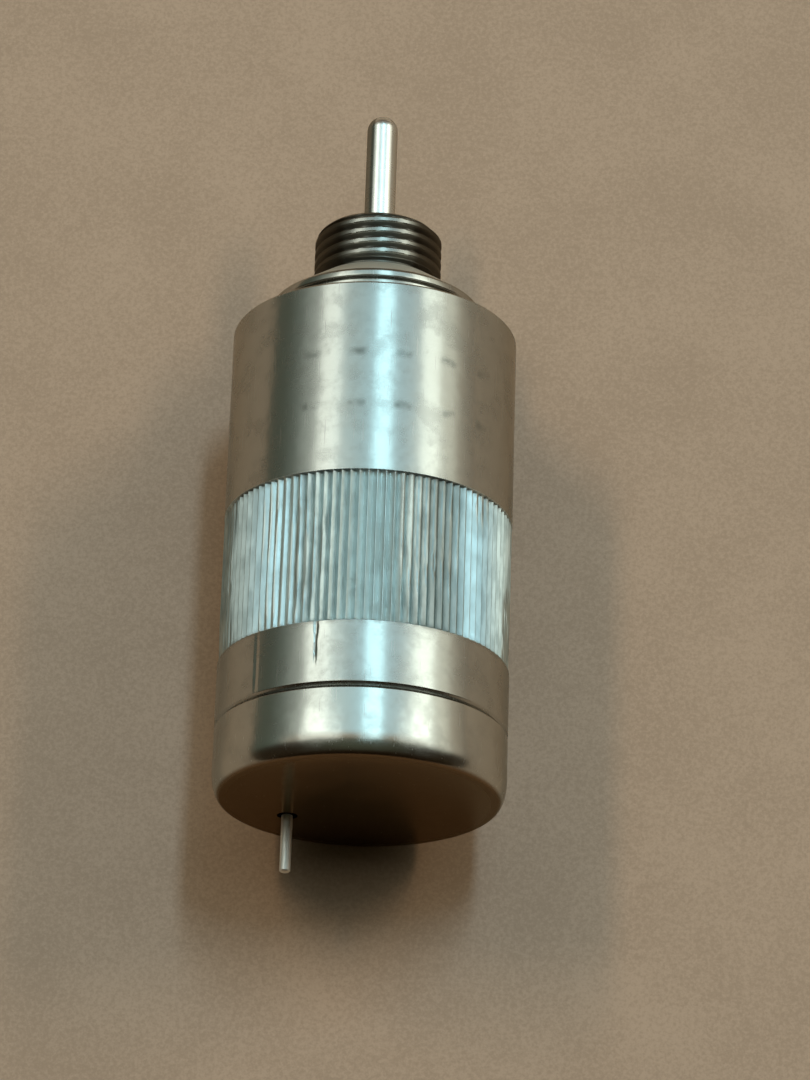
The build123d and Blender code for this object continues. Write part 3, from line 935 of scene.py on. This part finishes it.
# %% Nose blank
thread_rows = thread_pitch / 16
nose_angles = even_angles(256)
chamfer_start_y = nose_front_y - thread_chamfer
chamfer_r = thread_r - thread_chamfer
undercut_back_y = collar_back_y - undercut_width
undercut_r = collar_r - undercut_depth
thread_bar = filled((relief_r, relief_end_y), (thread_r, thread_start_y), thread_rows)
thread_bar += filled((thread_r, thread_start_y), (thread_r, chamfer_start_y), thread_rows)
thread_bar += filled((thread_r, chamfer_start_y), (chamfer_r, nose_front_y), thread_rows)
collar_section = rounded([
    (inner_fit_r, nose_back_y, 0),
    (inner_fit_r, lip_inner_y, 0),
    (collar_r, lip_inner_y, 0),
    (collar_r, undercut_back_y, 0.08 * MM),
    (undercut_r, undercut_back_y, 0.12 * MM),
    (undercut_r, collar_back_y, 0.12 * MM),
    (collar_r, collar_back_y, 0.22 * MM),
    (collar_r, collar_front_y, 0.30 * MM),
    (seat_tip_r, seat_tip_y, 0.12 * MM),
    (relief_r, seat_tip_y, 0.15 * MM),
    (relief_r, relief_end_y, 0)], closed=False)
nose_inside = [
    (chamfer_r, nose_front_y),
    (seal_pocket_r + 0.15 * MM, nose_front_y),
    (seal_pocket_r, nose_front_y - 0.15 * MM),
    (seal_pocket_r, seal_pocket_y),
    (bore_r, seal_pocket_y),
    (bore_r, nose_back_y),
]
nose = turned_mesh("nose_threaded", collar_section[:-1] + thread_bar + nose_inside, nose_angles)
check_closed(nose)

# %% [markdown]
# A thread is a groove that winds round the bar, so its depth at a point follows from the point's
# angle and its place along the axis together. A Screw modifier would sweep a loose coil that has to
# be joined to the bar. The rule needs no join, and it only takes metal away, as a die does.

# %% Threading tree
def threading_tree():
    """Cuts a right-hand thread into a turned blank, and never adds metal."""
    sizes = ["Pitch", "Depth", "Major Radius", "Start", "First Crest"]
    tree, found, given, position = start_shaping("threading_die", sizes)
    y, radius, angle = round_the_axis(tree, position)
    along = calc(tree, "DIVIDE", minus(tree, y, given["First Crest"]), given["Pitch"])
    around = calc(tree, "DIVIDE", angle, 2 * math.pi)
    groove = ramp(tree, from_whole(tree, minus(tree, along, around)), 0.16, 0.50)
    cut_radius = minus(tree, given["Major Radius"], times(tree, groove, given["Depth"]))
    cut_radius = calc(tree, "MINIMUM", radius, cut_radius)
    on_bar = times(tree, over(tree, y, given["Start"]),
                   over(tree, radius, times(tree, given["Major Radius"], 0.8)))
    new_radius = add(tree, "ShaderNodeMix", {"data_type": "FLOAT"}, _0=on_bar, _2=radius,
                     _3=cut_radius).outputs[0]
    end_shaping(tree, given, position, radius, new_radius)
    return tree, found


print("threading tree ready")

# %% [markdown]
# The thread is darker down in its grooves than on its crests. Its left and right sides are painted
# darker than its top, as shade, and so is the undercut behind the collar. The seat cone is made of
# paler, rougher metal, a painted highlight. The finish is the same steel graph with other masks.

# %% Nose finish
# Painted highlight: paler metal for the seat cone.
painted_cone_highlight = (0.82, 0.79, 0.71, 1)


def nose_dirt_and_shade(tree, where):
    """Darker metal in the thread's grooves; painted shade down its sides and beside the can's lip."""
    y, radius, angle = round_the_axis(tree, where)
    root = ramp(tree, radius, thread_r - 0.18 * MM, thread_r - 0.01 * MM, 0.65, 0.12)
    # Painted shade on the thread's left and right sides, by angle from the top.
    side_shade = ramp(tree, gap(tree, angle, 0.02), 0.42, 0.72, 0.25, 0.90)
    on_thread = times(tree, larger(tree, root, side_shade), over(tree, y, seat_tip_y))
    # Painted shade in the undercut beside the can's lip.
    lip_shade = times(tree, under(tree, y, collar_back_y - 0.7 * MM), 0.85)
    return 0.0, larger(tree, on_thread, lip_shade)


def nose_cone_highlight(tree, where, colour, rough):
    """A painted highlight: the seat cone gets paler, rougher metal."""
    y, radius, _ = round_the_axis(tree, where)
    from_rim = ramp(tree, y, collar_front_y + 0.15 * MM, collar_front_y + 0.5 * MM)
    to_tip = ramp(tree, y, seat_tip_y - 0.3 * MM, seat_tip_y, 1.0, 0.0)
    cone = times(tree, times(tree, from_rim, to_tip), over(tree, radius, relief_r + 0.3 * MM))
    colour = mix_colour(tree, times(tree, cone, 0.9), colour, painted_cone_highlight)
    return colour, plus(tree, rough, times(tree, cone, 0.33))


nose_steel = steel("nose_steel", (0.46, 0.46, 0.43), 0.15, nose_dirt_and_shade, nose_cone_highlight)
threading, thread_sockets = threading_tree()
shaped_by(nose, threading, thread_sockets, {
    "Pitch": thread_pitch, "Depth": thread_depth, "Major Radius": thread_r,
    "Start": seat_tip_y + 0.3 * MM, "First Crest": first_crest_y, "Material": nose_steel})
smooth(nose.data, 38)
check_closed(nose)
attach(nose, "housing")
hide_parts("nose_fitting")

# %% [markdown]
# The push pin is a ground rod with a ball end. It slides in the nose, so it rides on the plunger
# body and not on the housing: when the joint moves, the pin goes with it. A cylinder and a sphere
# would leave a seam between them, so both are turned in one outline.

# %% Push pin
ball_steps = 16
pin_angles = even_angles(96)
pin_outline = [(0.0, pin_back_y), (pin_r, pin_back_y), (pin_r, 0.0), (pin_r, nose_front_y)]
for k in range(ball_steps + 1):
    bend = math.radians(90 * k / ball_steps)
    pin_outline.append((pin_r * math.cos(bend), pin_tip_y - pin_r + pin_r * math.sin(bend)))
pin = turned_mesh("push_pin_ground", pin_outline, pin_angles, closed=False)
check_closed(pin)

# %% Pin finish
# Painted shade for the pin's left and right sides.
painted_pin_side_shade = (0.085, 0.10, 0.08, 1)


def pin_side_shade(tree, where, colour, rough):
    """Painted shade along both sides of the sliding pin, the left one darker."""
    _, _, angle = round_the_axis(tree, where)
    left = ramp(tree, angle, -0.62, -0.50, 0.74, 0.0)
    right = ramp(tree, angle, 0.60, 0.74, 0.0, 0.34)
    return mix_colour(tree, plus(tree, left, right), colour, painted_pin_side_shade), rough


pin_steel = steel("ground_pin_steel", (0.97, 0.97, 0.94), 0.25, accents=pin_side_shade, stretch=0.2,
                  mottle_amount=0.5)
pin.data.materials.append(pin_steel)
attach(pin, "plunger")
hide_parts("push_pin")
print("pin steel:", len(pin_steel.node_tree.nodes), "nodes")

# %% [markdown]
# The terminal is a stout tinned pin in a dark bead. It keeps its solid's shape, so it only needs a
# finish: tin is soft and bright, and a connector leaves fine marks along it. The bead is fused in,
# smooth and slightly cloudy.

# %% Terminal and bead
tin_light, tin_dark = (0.93, 0.93, 0.89, 1), (0.80, 0.80, 0.76, 1)
tin, tree, shader, where = new_material("tinned_pin")
streak = noise(tree, where, (6000, 500, 6000), 2.0)
dress(tree, shader, mix_colour(tree, ramp(tree, streak, 0.35, 0.7), tin_light, tin_dark),
      ramp(tree, streak, 0.3, 0.7, 0.40, 0.52), bump(tree, streak, 0.003 * MM, 0.4), 1.0)

bead_dark, bead_light = (0.17, 0.111, 0.059, 1), (0.23, 0.150, 0.082, 1)
bead, tree, shader, where = new_material("fused_bead")
cloud = noise(tree, where, 1500.0, 3.0)
cloud_level = ramp(tree, cloud, 0.3, 0.7)
dress(tree, shader, mix_colour(tree, cloud_level, bead_dark, bead_light),
      ramp(tree, cloud, 0.3, 0.7, 0.12, 0.22), bump(tree, cloud, 0.01 * MM, 0.3), 0.9)


def give(node, material):
    """Puts a material on every slot of a CAD node."""
    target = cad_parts[node]
    if not target.data.materials:
        target.data.materials.append(material)
    for slot in target.material_slots:
        slot.material = material


give("terminal_pin", tin)
give("terminal_insulator", bead)
print("terminal dressed")

# %% [markdown]
# The inside is closed, but the same model may be cut open or exploded one day, so its pieces get
# their own finishes too. Each is a small graph with a grain that follows from how the piece is made:
# drawn brass, sintered bronze, turned iron, moulded nylon, pressed fibre. Wound wire and woven tape
# show as even waves along the axis.

# %% Inner finishes
def inner_finish(name, light, dark, rough, metallic, grain, height):
    """A finish with two tones, a grain of given scale along each axis, and a matching bump."""
    material, tree, shader, where = new_material(name)
    cloud = noise(tree, where, grain, 4.0, 0.6)
    colour = mix_colour(tree, ramp(tree, cloud, 0.3, 0.7), (*light, 1), (*dark, 1))
    rough = ramp(tree, cloud, 0.3, 0.7, rough - 0.06, rough + 0.06)
    dress(tree, shader, colour, rough, bump(tree, cloud, height * MM, 0.5), metallic)
    return material


def wound(name, light, dark, rough, metallic, pitch, height):
    """A finish of close turns of wire or thread that run round the axis."""
    material, tree, shader, where = new_material(name)
    y, _, _ = round_the_axis(tree, where)
    wave = calc(tree, "SINE", times(tree, y, 2 * math.pi / (pitch * MM)))
    level = ramp(tree, wave, -1.0, 1.0, smooth=False)
    colour = mix_colour(tree, level, (*dark, 1), (*light, 1))
    rough = ramp(tree, noise(tree, where, 700.0, 2.0), 0.3, 0.7, rough - 0.08, rough + 0.08)
    dress(tree, shader, colour, rough, bump(tree, level, height * MM, 0.8), metallic)
    return material


print("inner finishes ready")

# %% [markdown]
# Each line below is one finish: its name, a light and a dark tone, its roughness, whether it is a
# metal, the grain along X, Y and Z, or the pitch of the turns, and the height of the bump, both in
# millimetres. Pieces of the same stuff share one material.

# %% Inner pieces
even_grain = (1500, 1500, 1500)
turned_grain = (300, 6000, 300)
drawn_grain = (3000, 250, 3000)
porous_grain = (2500, 2500, 2500)
moulded_grain = (900, 300, 900)
black, deep_black = (0.030, 0.030, 0.030), (0.018, 0.018, 0.018)
rubber = inner_finish("nitrile_rubber", black, deep_black, 0.55, 0.0, even_grain, 0.01)
iron = inner_finish("turned_iron", (0.46, 0.46, 0.45), (0.36, 0.36, 0.35), 0.34, 1.0, turned_grain, 0.004)
spring = inner_finish("spring_steel", (0.42, 0.42, 0.43), (0.30, 0.30, 0.31), 0.30, 1.0, even_grain, 0.003)
bronze = inner_finish("sintered_bronze", (0.56, 0.38, 0.20), (0.40, 0.26, 0.13), 0.45, 1.0, porous_grain,
                      0.01)
stamped = inner_finish("stamped_steel", (0.55, 0.55, 0.54), (0.45, 0.45, 0.44), 0.30, 1.0, even_grain,
                       0.004)
brass = inner_finish("drawn_brass", (0.72, 0.56, 0.29), (0.62, 0.46, 0.22), 0.26, 1.0, drawn_grain, 0.003)
nylon = inner_finish("filled_nylon", (0.78, 0.73, 0.62), (0.70, 0.65, 0.54), 0.50, 0.0, moulded_grain,
                     0.008)
copper = wound("enamelled_copper", (0.62, 0.27, 0.12), (0.26, 0.09, 0.04), 0.28, 1.0, 0.35, 0.08)
tape = wound("woven_tape", (0.74, 0.63, 0.36), (0.58, 0.47, 0.24), 0.75, 0.0, 0.8, 0.05)
fibre = inner_finish("vulcanised_fibre", (0.36, 0.17, 0.11), (0.26, 0.11, 0.07), 0.65, 0.0, even_grain,
                     0.01)
red = inner_finish("red_sleeve", (0.42, 0.03, 0.025), (0.34, 0.02, 0.02), 0.40, 0.0, even_grain, 0.004)
sleeve = inner_finish("black_sleeve", black, deep_black, 0.40, 0.0, even_grain, 0.004)
inner = {
    "front_guide_bush": bronze, "nose_pin_seal": rubber, "seal_retainer": stamped,
    "guide_tube": brass, "stop_washer": rubber, "armature": iron, "pin_clip": spring,
    "return_spring": spring, "fixed_core": iron, "bobbin": nylon, "coil_winding": copper,
    "winding_wrap": tape, "front_insulator": fibre, "rear_insulator": fibre, "disc_spring": spring,
    "cap_seal_ring": rubber, "live_lead": red, "earth_lead": sleeve,
}
for node, material in inner.items():
    give(node, material)
print("inner pieces dressed:", len(inner))
